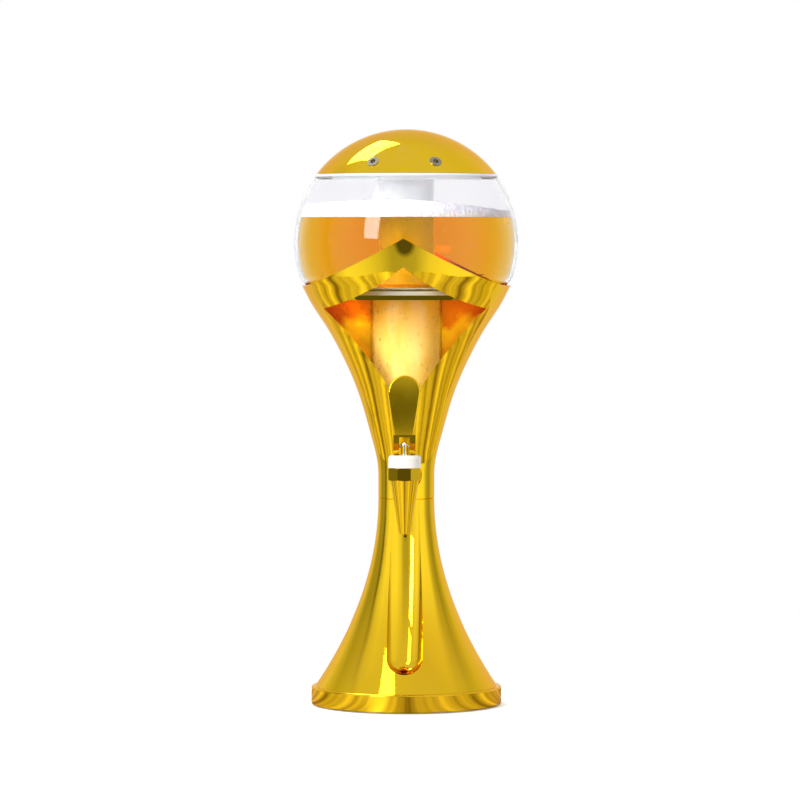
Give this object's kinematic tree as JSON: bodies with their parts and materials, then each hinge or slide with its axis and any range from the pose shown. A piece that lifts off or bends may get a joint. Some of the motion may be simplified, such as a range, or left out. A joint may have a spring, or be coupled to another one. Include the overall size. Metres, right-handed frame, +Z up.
{
  "type": "beer tower dispenser",
  "caption": "Drink tower with a clear globe on a gold trumpet stand, a lift-off dome lid, an ice tube inside and a lever tap at the waist.",
  "frame": {"origin": "on the floor, under the middle of the base", "axes": "+Z up, -Y to the front (the tap), +X to the right"},
  "size_m": [0.199, 0.2028, 0.511],
  "materials": {
    "gold_plate": "gold plated, mirror gloss",
    "clear_plastic": "clear",
    "frosted_plastic": "frosted white",
    "white_plastic": "gloss white",
    "black_plastic": "matt black",
    "rubber": "matt",
    "silicone": "satin white",
    "steel": "plain steel",
    "chrome": "polished",
    "iron": "as cast"
  },
  "bodies": {
    "stand": {"base_ring": "gold_plate", "base_plate": "black_plastic", "base_feet": "rubber", "base_screws": "steel", "ballast_disc": "iron", "tie_rod": "steel", "tie_rod_washer": "steel", "tie_rod_nut": "steel", "lower_shell": "gold_plate", "waist_coupler": "black_plastic", "upper_shell": "gold_plate", "seat_ring": "gold_plate", "globe_seat_pad": "silicone", "globe_vessel": "clear_plastic", "column_gasket": "silicone", "beer_column": "clear_plastic", "column_locknut": "white_plastic", "sump_pad": "rubber", "rim_gasket": "silicone", "tap_body": "gold_plate", "tap_gasket": "rubber", "shank_spacer": "rubber", "shank_seal": "silicone", "shank_nut": "steel", "tap_bonnet": "white_plastic", "bonnet_o_ring": "rubber", "tap_spring": "steel"},
    "stem": {"tap_stem": "chrome", "tap_seal": "silicone", "handle_pin": "steel"},
    "handle": {"tap_handle": "gold_plate"},
    "ice_insert": {"ice_tube": "frosted_plastic"},
    "lid": {"lid_dome": "gold_plate", "lid_skirt": "white_plastic", "lid_vents": "chrome"}
  },
  "joints": [
    {"name": "stem_lift", "type": "slide", "parent": "stand", "child": "stem", "axis": [0, 0, 1], "range_m": [0, 0.0034], "stiffness_N_per_m": 10, "springref_m": -0.001, "deforming": ["tap_spring"]},
    {"name": "handle_tilt", "type": "hinge", "parent": "stem", "child": "handle", "pos_m": [0, -0.058, 0.2325], "axis": [1, 0, 0], "range_deg": [0, 60]},
    {"name": "ice_insert_lift", "type": "slide", "parent": "stand", "child": "ice_insert", "axis": [0, 0, 1], "range_m": [0, 0.21]},
    {"name": "lid_lift", "type": "slide", "parent": "ice_insert", "child": "lid", "axis": [0, 0, 1], "range_m": [0, 0.06]}
  ],
  "couplings": [
    {"joint": "stem_lift", "follows": "handle_tilt", "m_per_rad": 0.0032}
  ]
}
